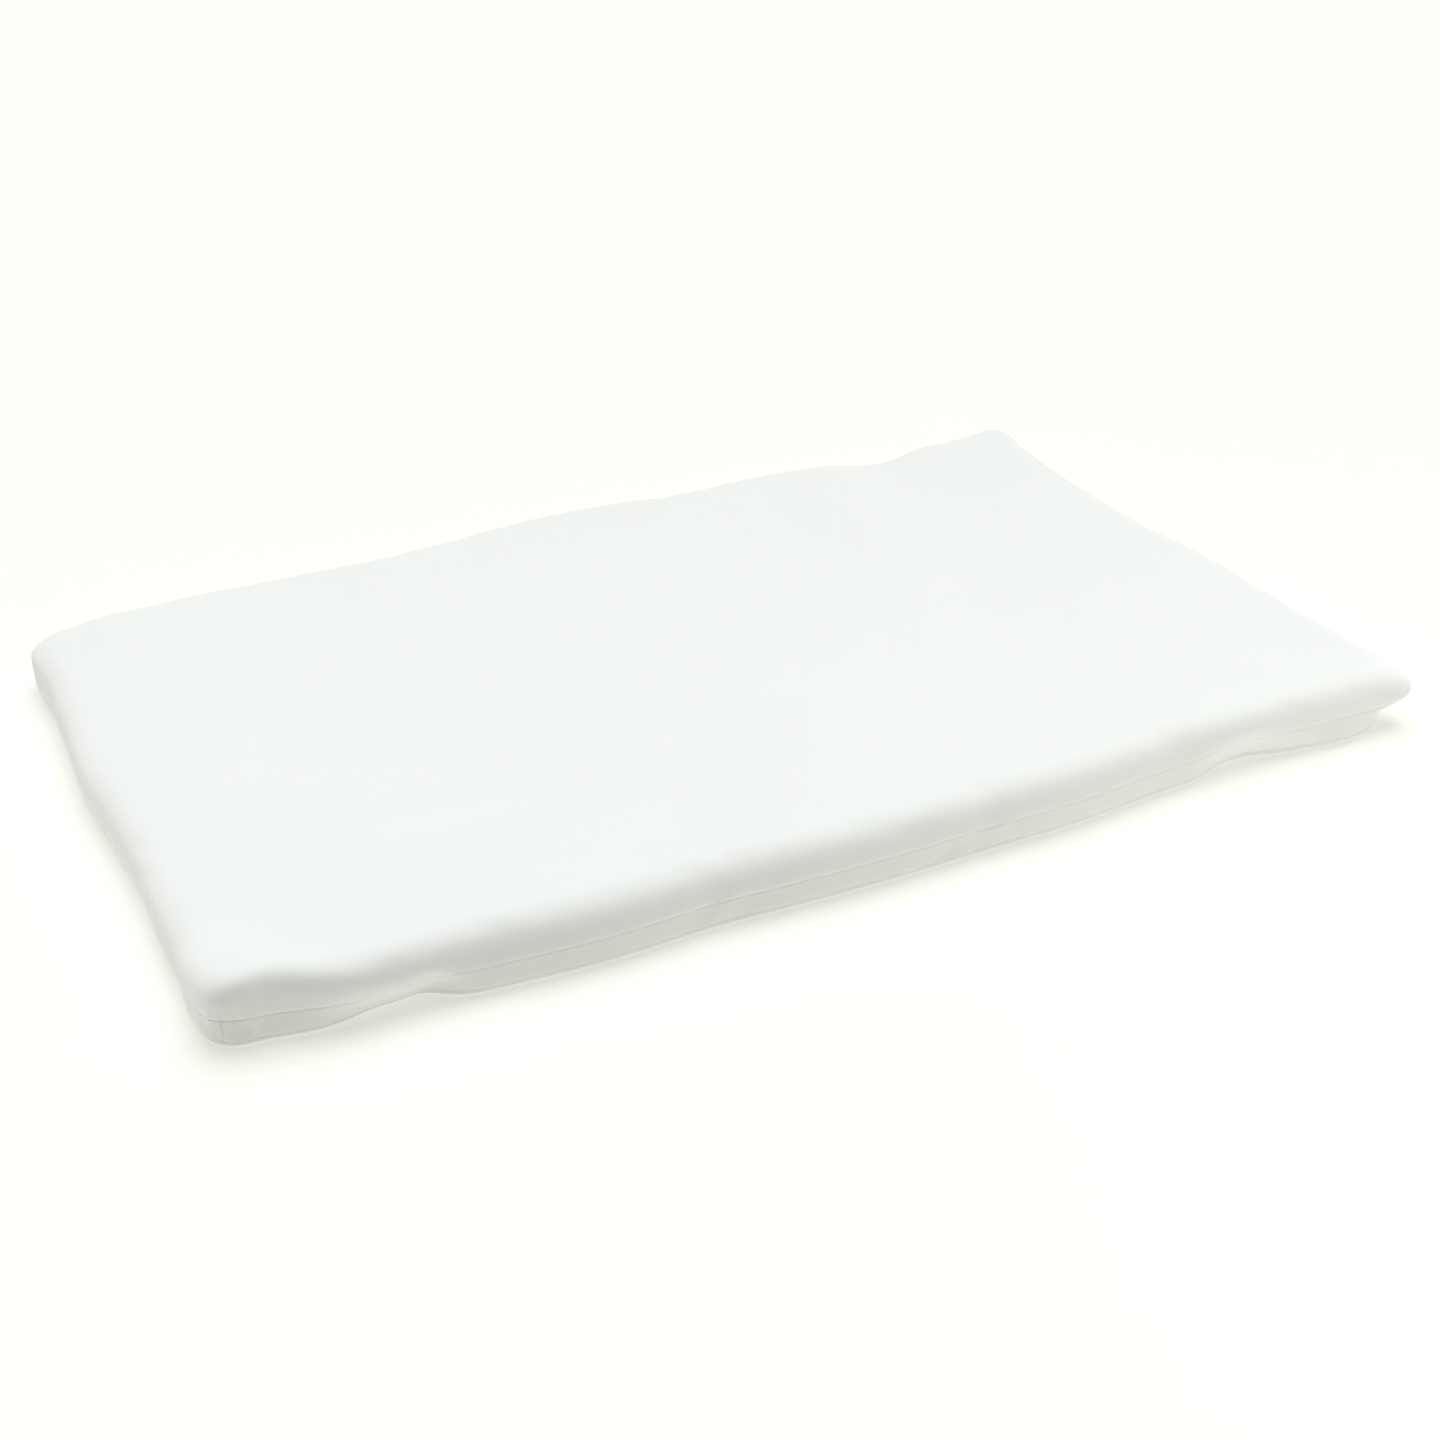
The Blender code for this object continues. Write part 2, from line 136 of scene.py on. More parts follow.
def colour_by(tree, shader, share, low, high):
    """Colour the shader from low, where share is 0, to high, where it is 1."""
    mix = add(tree, "Mix", {0: share, 6: linear(low), 7: linear(high)}, data_type="RGBA")
    tree.links.new(mix.outputs[2], shader.inputs["Base Color"])


def raise_by(tree, shader, height, distance, strength):
    """Bump the shader by a height of 0 to 1 times a distance."""
    bump = add(tree, "Bump", {"Height": height, "Distance": distance, "Strength": strength})
    tree.links.new(bump.outputs[0], shader.inputs["Normal"])


print("helpers ready")

# %% [markdown]
# ## The knit of the cover
#
# The cover is a brushed polyester jersey: soft, matt, with loops that run in columns. Each loop shows
# as two slanted legs, a V, and the fibres stand out of it a little, which gives the pale rim of light
# that white cloth has. The pattern is drawn from the piece's own UV map, which holds the flat cloth in
# metres, so the columns follow the cloth round the edge. Real columns are 1.3 mm apart, too fine for
# the render, so they are drawn 2.6 mm apart.

# %% Knitted cloth
def loops(tree, column, course):
    """Height of a knitted loop, 0 to 1. Across a column the two legs are two round ridges.
    Along it, each leg rises and falls once a course, and it starts later the further it is from
    the column's middle, which slants the legs into a V."""
    along = flat_cloth(tree)
    place = maths(tree, "FRACT", maths(tree, "DIVIDE", along[0], column))
    leg = maths(tree, "ABSOLUTE", maths(tree, "SUBTRACT", place, 0.5))
    ridge = maths(tree, "ABSOLUTE", maths(tree, "SUBTRACT", maths(tree, "MULTIPLY", leg, 4.0), 1.0))
    ridge = maths(tree, "SUBTRACT", 1.0, ridge)
    phase = maths(tree, "ADD", maths(tree, "DIVIDE", along[1], course), maths(tree, "MULTIPLY", leg, 1.7))
    swing = maths(tree, "SINE", maths(tree, "MULTIPLY", maths(tree, "FRACT", phase), math.pi))
    lift = maths(tree, "ADD", maths(tree, "MULTIPLY", swing, 0.6), 0.4)
    return maths(tree, "MULTIPLY", maths(tree, "POWER", ridge, 0.6), lift)


def knitted(name, thread, hollow_shade, column, course, depth, fuzz):
    """A knitted cloth: loops for the small shape, fibres as fine noise, and a slow drift of tone
    from the way that cloth takes up light where it is a little looser. The colour is painted
    light where loops and fibres stand high and painted shade where they are low."""
    material, tree, shader = new_material(
        name, Roughness=0.92, Sheen_Weight=0.18, Sheen_Roughness=0.5, IOR=1.5)
    shader.inputs["Specular IOR Level"].default_value = 0.25
    shader.inputs["Sheen Tint"].default_value = linear("#fffffa")
    fibres = maths(tree, "MULTIPLY", noise(tree, 1.1 * MM), fuzz)
    raised = maths(tree, "ADD", loops(tree, column, course), fibres)
    tone = maths(tree, "MULTIPLY", maths(tree, "ADD", raised, noise(tree, 1 / 3.5, 3.0)), 0.5)
    # Painted light and shade: the colour is lighter where loops and fibres stand high and darker where they
    # are low.
    colour_by(tree, shader, tone, hollow_shade, thread)
    raise_by(tree, shader, raised, depth, 0.5)
    return material


KNIT = knitted("brushed_polyester_knit", "#fbfdfa", "#f2f4ef", 2.6 * MM, 2.0 * MM, 0.35 * MM, 0.5)
TRICOT = knitted("warp_knit_tricot", "#f6f8f5", "#eaece7", 1.8 * MM, 3.0 * MM, 0.25 * MM, 0.3)
JERSEY = knitted("thin_cotton_jersey", "#f2f1ea", "#e2e0d6", 1.6 * MM, 1.3 * MM, 0.2 * MM, 0.3)
print("knits:", KNIT.name, TRICOT.name, JERSEY.name)

# %% [markdown]
# ## Tape, thread, foam, plastic and metal
#
# The seam and zip tapes are woven polyester: a herringbone of flat yarns. The foams are cut from a
# block, so they show open cells: fine and cream in the slow memory foam, coarse and grey in the
# firm one. Nylon wire is smooth and milky. The slider and its tab are zinc castings with a tumbled
# nickel plating, which is bright with a soft, slightly uneven gloss.

# %% Woven tape and thread
def woven(name, light, dark, yarn):
    """Herringbone tape. Yarns run at 45 degrees and change sides every eight yarns, so the slant
    is v plus a zigzag of u, and each yarn is a half sine. Its colour follows that height:
    painted shade between the yarns and painted light on their crowns."""
    material, tree, shader = new_material(name, Roughness=0.75, Sheen_Weight=0.15, IOR=1.5)
    along = flat_cloth(tree)
    zigzag = maths(tree, "PINGPONG", along[1], 8 * yarn)
    slant = maths(tree, "DIVIDE", maths(tree, "ADD", along[0], zigzag), yarn)
    height = maths(tree, "SINE", maths(tree, "MULTIPLY", maths(tree, "FRACT", slant), math.pi))
    # Painted light and shade: the colour is lighter on each yarn's crown and darker between the yarns.
    colour_by(tree, shader, height, dark, light)
    raise_by(tree, shader, height, 0.2 * MM, 0.7)
    return material


def spun_thread():
    """Two-ply polyester sewing thread: a slight gloss, and fine noise for the twist of its fibres."""
    material, tree, shader = new_material("polyester_thread", Roughness=0.55, Sheen_Weight=0.2, IOR=1.5)
    colour_by(tree, shader, noise(tree, 0.3 * MM, 1.0), "#e6e7e0", "#fbfcf8")
    return material


TAPE = woven("woven_polyester_tape", "#eeeeea", "#d9d9d2", 1.0 * MM)
THREAD = spun_thread()
print("tape and thread:", TAPE.name, THREAD.name)


# %% Open-cell foam
def foamed(name, skin, pore_shade, cell, depth):
    """Cut foam. Each cell is a Voronoi cell of its real width, drawn twice as wide so that it
    shows, with painted shade in its open middle, and a slow noise is the unevenness of the cut."""
    material, tree, shader = new_material(name, Roughness=0.95, Sheen_Weight=0.1, IOR=1.5)
    shader.inputs["Specular IOR Level"].default_value = 0.15
    spot = add(tree, "TexCoord").outputs["Object"]
    cells = add(tree, "TexVoronoi", {"Vector": spot, "Scale": 1 / (2 * cell)}).outputs["Distance"]
    rim = maths(tree, "MULTIPLY", maths(tree, "MINIMUM", cells, 0.6), 1.6)
    cut = maths(tree, "MULTIPLY", noise(tree, 40 * MM, 4.0), 0.4)
    # Painted shade: each cell is coloured darker towards its open middle. The cut noise is the foam's own
    # uneven tone.
    colour_by(tree, shader, maths(tree, "ADD", maths(tree, "MULTIPLY", rim, 0.6), cut), pore_shade, skin)
    raise_by(tree, shader, rim, depth, 0.6)
    return material


MEMORY_FOAM = foamed("viscoelastic_foam", "#f6ecc9", "#dccb9b", 0.6 * MM, 0.3 * MM)
SUPPORT_FOAM = foamed("polyether_foam", "#d4d8dc", "#a9afb6", 1.1 * MM, 0.6 * MM)
print("foams:", MEMORY_FOAM.name, SUPPORT_FOAM.name)


# %% Nylon, nickel and satin
def moulded_nylon():
    """Drawn nylon wire: milky, with a soft gloss and faint streaks left by the forming wheel."""
    material, tree, shader = new_material("nylon_monofilament", Roughness=0.34, IOR=1.53)
    shader.inputs["Subsurface Weight"].default_value = 0.15
    shader.inputs["Subsurface Scale"].default_value = 0.5 * MM
    colour_by(tree, shader, noise(tree, 0.8 * MM), "#e4e5de", "#f7f8f3")
    return material


def tumbled_nickel():
    """Nickel plate on a zinc casting, tumbled in a barrel: the gloss varies in fine patches, and
    small dents catch the light."""
    material, tree, shader = new_material("tumbled_nickel_plate", Metallic=1.0)
    patch = noise(tree, 1.5 * MM, 3.0)
    gloss = add(tree, "MapRange", {0: patch, 3: 0.22, 4: 0.38}).outputs[0]
    tree.links.new(gloss, shader.inputs["Roughness"])
    colour_by(tree, shader, patch, "#b9b6ae", "#d6d3cb")
    raise_by(tree, shader, noise(tree, 0.5 * MM), 0.04 * MM, 0.4)
    return material


def label_satin():
    """Polyester satin ribbon: long warp yarns on its face give fine streaks along the ribbon, raised a
    little and lighter in colour, as painted sheen.
    """
    material, tree, shader = new_material("polyester_satin", Roughness=0.4, Sheen_Weight=0.1, IOR=1.5)
    flat = add(tree, "UVMap", uv_map="cloth").outputs[0]
    drawn = add(tree, "Mapping", {"Vector": flat, "Scale": (1 / (0.4 * MM), 1 / (9 * MM), 1.0)}).outputs[0]
    float_relief_and_sheen = add(tree, "TexNoise", {"Vector": drawn, "Scale": 1.0, "Detail": 2.0}).outputs[0]
    # Painted sheen: the colour is lighter along the streaks, where the satin's gloss catches the light.
    colour_by(tree, shader, float_relief_and_sheen, "#e9eae8", "#fbfbfb")
    raise_by(tree, shader, float_relief_and_sheen, 0.05 * MM, 0.5)
    return material


NYLON = moulded_nylon()
NICKEL = tumbled_nickel()
SATIN = label_satin()
print("nylon, nickel and satin:", NYLON.name, NICKEL.name, SATIN.name)

# %% [markdown]
# ## Surfaces as grids
#
# A soft shape here is a grid of points worked out with numpy. `cells` lists the quads between the
# points of an index grid, and `piece` turns points, quads and the flat cloth's coordinates into an
# object that rides on a body of the frame. A wrapped grid joins its last column to its first.

# %% Helpers for meshes
def cells(index, wrap=False):
    """Four corners for each cell of an index grid: this point, the next along its row, and the
    two above them. They run anticlockwise when rows go up and columns go right."""
    following = np.roll(index, -1, axis=1)
    last = None if wrap else -1
    here, right = index[:-1, :last], following[:-1, :last]
    above, above_right = index[1:, :last], following[1:, :last]
    return np.stack([here, right, above_right, above], axis=-1).reshape(-1, 4)


def flat_map(rows, columns):
    """The corners of every cell on the flat cloth, from the cloth's rows and columns in metres."""
    across, along = np.meshgrid(columns, rows)
    index = np.arange(across.size).reshape(across.shape)
    return np.stack([across.ravel(), along.ravel()], axis=-1)[cells(index)]


def piece(name, points, quads, finish, body="mattress", flat=None, closed=False):
    """An object from points and quads. flat holds each quad's corners on the flat cloth. Points in
    the same place are merged, so that seams and poles are closed, and a closed one is turned out."""
    mesh = bpy.data.meshes.new(name)
    mesh.from_pydata(np.asarray(points, float).tolist(), [], np.asarray(quads).tolist())
    if flat is not None:
        layer = mesh.uv_layers.new(name="cloth")
        layer.data.foreach_set("uv", np.asarray(flat, np.float32).ravel())
    work = bmesh.new()
    work.from_mesh(mesh)
    bmesh.ops.remove_doubles(work, verts=work.verts, dist=1e-6)
    loose = [vertex for vertex in work.verts if not vertex.link_faces]
    bmesh.ops.delete(work, geom=loose, context="VERTS")
    if closed:
        bmesh.ops.recalc_face_normals(work, faces=work.faces)
    work.to_mesh(mesh)
    work.free()
    mesh.materials.append(finish)
    mesh.shade_smooth()
    made = bpy.data.objects.new(name, mesh)
    bpy.context.scene.collection.objects.link(made)
    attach(made, body)
    return made


def modify(made, kind, **settings):
    """A modifier with its settings. A subdivision has the same level in the render."""
    modifier = made.modifiers.new(kind.lower(), kind)
    for key, value in settings.items():
        setattr(modifier, key, value)
    return modifier


def ease(value, start, end):
    """0 before start, 1 after end, and a smooth step, 3t^2 - 2t^3, between."""
    share = np.clip((value - start) / (end - start), 0, 1)
    return share * share * (3 - 2 * share)


def spread(stops, pitch):
    """Values from the first stop to the last, through every stop, about a pitch apart."""
    parts = [np.linspace(a, b, max(1, round((b - a) / pitch)) + 1)[:-1] for a, b in zip(stops, stops[1:])]
    return np.concatenate([*parts, stops[-1:]])


def running_length(path):
    """How far along a line each of its points is."""
    return np.concatenate([[0.0], np.cumsum(np.linalg.norm(np.diff(path, axis=0), axis=1))])


print("mesh helpers ready")

# %% [markdown]
# ## A rounded slab from a folded sheet
#
# Every layer of the mattress is the same kind of shape: a slab with round corners and rolled edges.
# It could be a bevelled box, but a bevelled box has no sensible cloth coordinates and thin slivers in
# its corners. Instead a flat rectangle is folded: its middle stays flat, and what lies beyond an inner
# rectangle goes outward, over the roll and down the side. In a corner the square of cloth becomes a
# quarter disc: the larger of the two overhangs is the distance, and their ratio is the angle.

# %% Fold a flat sheet into one half of a slab
def over_edge(distance, corner, roll):
    """How far out and how far down a point is that lies a distance beyond the inner rectangle.
    Flat for corner minus roll, then an arc of radius roll, then straight down."""
    flat = corner - roll
    turn = np.clip((distance - flat) / roll, 0, math.pi / 2)
    out = np.minimum(distance, flat) + roll * np.sin(turn)
    down = roll * (1 - np.cos(turn)) + np.maximum(distance - flat - roll * math.pi / 2, 0)
    return out, down


def folded(u, v, inner, corner, roll):
    """The place of flat cloth points, as x, y and depth. The overhang beyond the inner rectangle
    is max(a, b), and in a corner the angle is 45 degrees times the smaller over the larger."""
    a = np.maximum(np.abs(u) - inner[0], 0)
    b = np.maximum(np.abs(v) - inner[1], 0)
    distance = np.maximum(a, b)
    share = np.minimum(a, b) / np.maximum(distance, 1e-9) * math.pi / 4
    angle = np.where(a >= b, share, math.pi / 2 - share)
    out, down = over_edge(distance, corner, roll)
    x = np.sign(u) * (np.minimum(np.abs(u), inner[0]) + out * np.cos(angle))
    y = np.sign(v) * (np.minimum(np.abs(v), inner[1]) + out * np.sin(angle))
    return np.stack([x, y, down], axis=-1)


def around(grid):
    """The rim of a grid whose rows run along X and columns along Y, anticlockwise from above."""
    return np.concatenate([grid[:-1, 0], grid[-1, :-1], grid[:0:-1, -1], grid[0, :0:-1]])


def slab(low, high, corner, top_roll, foot_roll, levels, pitch, band, stops=()):
    """Points and index grids of a closed slab: a folded top, rows of wall at the levels, and a
    folded bottom. It also gives the flat cloth's marks for the top and the bottom."""
    low, high = np.array(low, float), np.array(high, float)
    centre, inner = (low + high) / 2, (high - low)[:2] / 2 - corner
    lengths = [corner - roll + roll * math.pi / 2 + wall for roll, wall in
               ((top_roll, high[2] - top_roll - levels[-1]), (foot_roll, levels[0] - low[2] - foot_roll))]
    sheets, marks = [], []
    for length, roll in zip(lengths, (top_roll, foot_roll)):
        ramp = np.linspace(0, length, band + 1)[1:]
        u = spread([-inner[0], inner[0]], pitch)
        v = spread([-inner[1], *[-s for s in reversed(stops)], *stops, inner[1]], pitch)
        u, v = (np.concatenate([m[0] - ramp[::-1], m, m[-1] + ramp]) for m in (u, v))
        place = folded(*np.meshgrid(u, v, indexing="ij"), inner, corner, roll)
        sheets.append(place)
        marks.append((u, v))
    top, bottom = sheets
    top[..., 2] = high[2] - top[..., 2]
    bottom[..., 2] = low[2] + bottom[..., 2]
    shift = np.array([centre[0], centre[1], 0])
    top, bottom = top + shift, bottom + shift
    rim = around(top)
    rows = [np.column_stack([rim[:, :2], np.full(len(rim), z)]) for z in levels[1:-1]]
    points = np.concatenate([top.reshape(-1, 3), bottom.reshape(-1, 3), *rows])
    top_index = np.arange(top[..., 0].size).reshape(top.shape[:2])
    bottom_index = top_index + top_index.size
    middle = 2 * top_index.size + np.arange(len(rows) * len(rim)).reshape(len(rows), len(rim))
    wall = np.vstack([around(bottom_index), middle, around(top_index)])
    return points, top_index, wall, bottom_index, marks


PITCH = 20 * MM
BAND = 8
WALL_ROWS = np.linspace(FOOT_SEAM, MID_SEAM, 5)
bag, top_grid, wall_grid, bottom_grid, marks = slab(
    SLAB_LOW, SLAB_HIGH, CORNER, TOP_ROLL, FOOT_ROLL, WALL_ROWS, PITCH, BAND, SLOT_CLOSES)
bag_quads = np.concatenate([cells(top_grid.T), cells(wall_grid, wrap=True), cells(bottom_grid)])
print(f"the cover's closed bag has {len(bag)} points and {len(bag_quads)} quads")

# %% [markdown]
# ## How the mattress lies
#
# A foam mattress that has been rolled up for shipping never lies quite square. Its long sides bow and
# are tucked under in places, its foot end sags in the middle, its head end droops, its two corners at
# the foot stand out like ears, and one soft crease runs along the top. Each of those is a bump along an
# edge: a place, a half width and an amount, in metres. `settle` moves any point of the slab by them, so
# the cover, the sock and both foams keep the same shape and never cut through each other. Near the zip
# nothing moves, because its pieces are rigid.

# %% Bumps, and the room that the zip keeps
# The zip's room starts 25 mm inside the foot end, reaches 10 mm past the slot, and is 32 mm high.
ZIP_ROOM_LOW = np.array([0.975, -0.522, 0.034])
ZIP_ROOM_HIGH = np.array([2.0, 0.522, 0.066])


def bumps(along, *parts):
    """A sum of round bumps. Each is (place, half width, amount) and follows a squared cosine."""
    total = np.zeros_like(along)
    for place, half, amount in parts:
        total += amount * np.cos(np.clip((along - place) / half, -1, 1) * math.pi / 2) ** 2
    return total


def near(distance, reach, start=0.0):
    """1 up to a start and 0 beyond a reach, with a smooth step between."""
    return 1 - ease(distance, start, reach)


def from_zip(points, reach):
    """0 in the box that holds the zip, rising smoothly to 1 at a reach from it."""
    gap = np.maximum(np.maximum(ZIP_ROOM_LOW - points, points - ZIP_ROOM_HIGH), 0)
    return ease(np.linalg.norm(gap, axis=-1), 0, reach)


# %% Settle the slab
def settle(points, under=0.0):
    """Where each point of the true slab ends up on the soft mattress. What lies under the cover is
    drawn in a little earlier where the foot end is tucked in, so that it stays under."""
    x, y, z = np.moveaxis(np.asarray(points, float), -1, 0)
    high, low = ease(z, 0.055, 0.095), near(z, 0.075)
    front, back = near(y + HALF_WIDTH, 0.24), near(HALF_WIDTH - y, 0.24)
    foot, head = near(HALF_LENGTH - x, 0.24), near(x + HALF_LENGTH, 0.20)
    near_ear = near(np.hypot(HALF_LENGTH - x, HALF_WIDTH + y), 0.095) * ease(z, 0.036, 0.066)
    far_ear = near(np.hypot(HALF_LENGTH - x, HALF_WIDTH - y), 0.10) * high

    # The front side: pulled in and tucked under near its two ends, bowed out between them.
    to_back = front * bumps(x, (-0.94, 0.15, 0.034))
    to_back += front * low * bumps(x, (-0.76, 0.14, 0.034), (-0.705, 0.04, 0.014), (0.672, 0.12, 0.026),
                                   (0.88, 0.10, -0.012))
    to_back -= front * bumps(x, (0.05, 0.60, 0.020), (-0.46, 0.22, 0.012), (0.34, 0.20, 0.006))
    # The back side: bowed out, with a notch in its upper edge before the far ear.
    to_back += back * bumps(x, (0.00, 0.42, 0.026), (0.42, 0.22, 0.018), (-0.69, 0.12, 0.006))
    to_back += back * high * bumps(x, (0.68, 0.13, -0.020), (-0.93, 0.10, -0.004), (0.98, 0.16, 0.014))
    to_back += far_ear * 0.009 - near_ear * 0.014

    # The foot end: its upper edge sags inward, its ears stand out, and its near corner is tucked under.
    to_foot = foot * high * bumps(y, (0.25, 0.36, -0.022), (0.04, 0.20, -0.006), (0.60, 0.12, 0.006))
    to_foot += foot * bumps(y, (-0.60, 0.38, 0.010))
    to_foot += far_ear * 0.008 + near_ear * 0.024
    to_foot -= foot * near(z - under, 0.054, 0.032) * 0.037 * ease(under - y, SLOT_CLOSES[0], 0.590)
    # The head end: almost straight.
    to_foot += head * bumps(y, (0.13, 0.20, -0.009), (-0.17, 0.14, 0.004), (0.42, 0.10, 0.004),
                            (-0.48, 0.10, -0.005)) + head * 0.004

    # The top: a slight crown, the ears, a sag at the foot end, a droop at the head end and a crease.
    up = high * 0.006 * (1 - (x / HALF_LENGTH) ** 2) * (1 - (y / HALF_WIDTH) ** 2)
    up += high * back * bumps(x, (0.02, 0.36, 0.004), (0.68, 0.13, -0.008))
    up += far_ear * 0.004 - near_ear * 0.011
    up += high * foot * bumps(y, (0.25, 0.36, -0.008))
    droop = near(x + HALF_LENGTH, 0.17, -0.02) * ease(y + HALF_WIDTH, 0.02, 0.24)
    up -= high * (head * 0.003 + droop * 0.014)
    up -= high * bumps(x, (-0.54, 0.30, 0.003)) * bumps(y + 0.1 * x, (-0.344, 0.045, 1.0))
    up += high * front * bumps(x, (-0.94, 0.14, 0.010))
    # The near head corner is boxier: its rolled edge stands out and up.
    boxy = ease(z, 0.060, 0.088) * near(y + HALF_WIDTH, 0.045, 0.012) * bumps(x, (-0.92, 0.22, 0.006))
    moved = np.stack([to_foot, to_back - boxy, up + boxy], axis=-1)
    return points + moved * from_zip(points, 0.025)[..., None]


BENEATH = 8 * MM
bag = settle(bag)
print("settled, spread of the bag:", np.round(np.ptp(bag, axis=0), 3).tolist())

# %% [markdown]
# ## Slack in the cover
#
# The cover is cut a little larger than the foam, so it doesn't lie dead flat. A cloth simulation gives
# that: the closed bag starts on the foam, its threads are a little too long for it, light air pressure
# keeps it outside the foam, and gravity is off. Afterwards each point keeps only its outward move, up
# to a cap, so the cover never sinks into the foam, and nothing moves at the zip.

# %% Simulate the bag
SLACK = 0.008
CAP = 4 * MM
SIM_FRAMES = 20


def vertex_normals(mesh):
    """The normals of a mesh's points as one array."""
    normals = np.empty(len(mesh.vertices) * 3)
    mesh.vertices.foreach_get("normal", normals)
    return normals.reshape(-1, 3)


def simulate(points, quads):
    """The bag's points after some frames of cloth."""
    mesh = bpy.data.meshes.new("slack_bag")
    mesh.from_pydata(points.tolist(), [], quads.tolist())
    made = bpy.data.objects.new("slack_bag", mesh)
    bpy.context.scene.collection.objects.link(made)
    hold = made.vertex_groups.new(name="hold")
    hold.add(range(len(points)), 0.25, "REPLACE")
    cloth = modify(made, "CLOTH").settings
    cloth.quality = 4
    cloth.mass = 0.25
    cloth.tension_stiffness = cloth.compression_stiffness = 12
    cloth.bending_stiffness = 0.4
    cloth.use_pressure = True
    cloth.uniform_pressure_force = 4.0
    cloth.shrink_min = -SLACK
    cloth.vertex_group_mass = "hold"
    cloth.pin_stiffness = 0.6
    cloth.effector_weights.gravity = 0
    for number in range(SIM_FRAMES):
        bpy.context.scene.frame_set(number + 1)
    graph = bpy.context.evaluated_depsgraph_get()
    moved = np.empty(len(points) * 3)
    made.evaluated_get(graph).data.vertices.foreach_get("co", moved)
    bpy.data.objects.remove(made)
    bpy.context.scene.frame_set(1)
    return moved.reshape(-1, 3)


still = bpy.data.meshes.new("still_bag")
still.from_pydata(bag.tolist(), [], bag_quads.tolist())
outward = vertex_normals(still)
swell = ((simulate(bag, bag_quads) - bag) * outward).sum(axis=1)
print("swell before the cap, mm:", np.round(np.percentile(swell, [1, 25, 50, 75, 99]) / MM, 2).tolist())
swell = np.clip(swell, 0, CAP) * from_zip(bag, 0.04) * ease(bag[:, 2], 0.001, 0.02)
bag = bag + outward * swell[:, None]
bpy.data.meshes.remove(still)
print("bag's spread after the simulation:", np.round(np.ptp(bag, axis=0), 3).tolist())

# %% [markdown]
# ## The cover's panels
#
# The bag is cut into the panels that a sewer would join: one boxed top with its rolled edge, four
# border strips for the lower half of the sides, and a bottom turned up round the edge. Each becomes a
# sheet with a real 2 mm wall. Along the foot end the edges part for the zip, and every seam is drawn
# in by a hair, because such a cover shows its seams only as faint lines.

# %% Open the slot and pinch the seams
def slot_at(y):
    """1 along the zip's opening and 0 past its ends."""
    return 1 - ease(np.abs(y), *SLOT_CLOSES)


SEAM_PINCH = 0.05 * MM
top_rim, bottom_rim = around(top_grid), around(bottom_grid)
for rim in (top_rim, bottom_rim):
    bag[rim] -= outward[rim] * [1, 1, 0] * SEAM_PINCH
border_points = bag[wall_grid]
top_points = bag[top_grid]
top_points[-1, :, 2] += slot_at(top_points[-1, :, 1]) * ZIP_SLOT / 2
at_foot_end = np.isin(top_rim, top_grid[-1])
rim_y = border_points[-1, :, 1]
border_points[-1, :, 2] -= np.where(at_foot_end, slot_at(rim_y) * ZIP_SLOT / 2, 0)
print(f"slot opened over {2 * ZIP_END:.3f} m at the foot end")


# %% Top, borders and bottom
def panel(name, points, flat_rows, flat_columns, finish, node, turned=False):
    """One panel of the cover as a sheet with a wall. Its flat size is that of its cloth marks."""
    index = np.arange(points[..., 0].size).reshape(points.shape[:2])
    quads = cells(index[::-1] if turned else index)
    rows = flat_rows[::-1] if turned else flat_rows
    made = piece(name, points.reshape(-1, 3), quads, finish, flat=flat_map(rows, flat_columns))
    modify(made, "SUBSURF", levels=1, render_levels=1, boundary_smooth="PRESERVE_CORNERS")
    modify(made, "SOLIDIFY", thickness=CLOTH, offset=-1.0)
    modify(made, "WEIGHTED_NORMAL", weight=100)
    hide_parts(node)


(top_u, top_v), (bottom_u, bottom_v) = marks
panel("cover_top", top_points.transpose(1, 0, 2), top_v, top_u, KNIT, "cover_top_panel")
panel("cover_bottom", bag[bottom_grid].transpose(1, 0, 2), bottom_v, bottom_u,
      TRICOT, "cover_bottom_panel", turned=True)

girth = running_length(np.vstack([border_points[-1], border_points[-1][:1]]))
count_u, count_v = top_grid.shape
corner_at = np.array([0, count_u - 1, count_u + count_v - 2, 2 * count_u + count_v - 3, len(girth) - 1])
for side, start, end in zip(("front", "right", "back", "left"), corner_at, corner_at[1:]):
    taken = np.arange(start, end + 1)
    panel(f"cover_border_{side}_strip", border_points[:, taken % wall_grid.shape[1]], WALL_ROWS,
          girth[taken], KNIT, f"cover_border_{side}")

# %% [markdown]
# ## Strips: seam bindings, elastic and zip tapes
#
# A binding, an elastic and a zip tape are all the same thing to a modeller: a small section carried
# along a path. The path gives a place, a sideways direction and an upward one at each step, and the
# section's points are measured along those two. A path round the slab starts beside the zip at the
# foot end and runs anticlockwise, so the same function makes a strip that stops at the zip.

# %% Carry a section along a path
def round_corners(inner, radius, steps):
    """Quarter circles about the four corners of a rectangle, anticlockwise from the +X, +Y one."""
    turn = np.linspace(0, math.pi / 2, steps)
    return np.concatenate([
        inner * corner + radius * np.column_stack([np.cos(turn + quarter), np.sin(turn + quarter)])
        for corner, quarter in (((1, 1), 0), ((-1, 1), math.pi / 2), ((-1, -1), math.pi),
                                ((1, -1), 1.5 * math.pi))])


def path_round(inset, start, pitch):
    """Plan points round the slab, moved in by inset, from (foot end, start) to (foot end, -start)."""
    inner = np.array([HALF_LENGTH - CORNER, HALF_WIDTH - CORNER])
    foot = HALF_LENGTH - inset
    arcs = round_corners(inner, CORNER - inset, 13)
    return evenly(np.concatenate([[[foot, start]], arcs, [[foot, -start]]]), pitch)


def evenly(path, pitch):
    """The same line with its points a pitch apart, found by its running length."""
    length = running_length(path)
    at = np.linspace(0, length[-1], max(2, round(length[-1] / pitch) + 1))
    return np.column_stack([np.interp(at, length, axis) for axis in path.T])


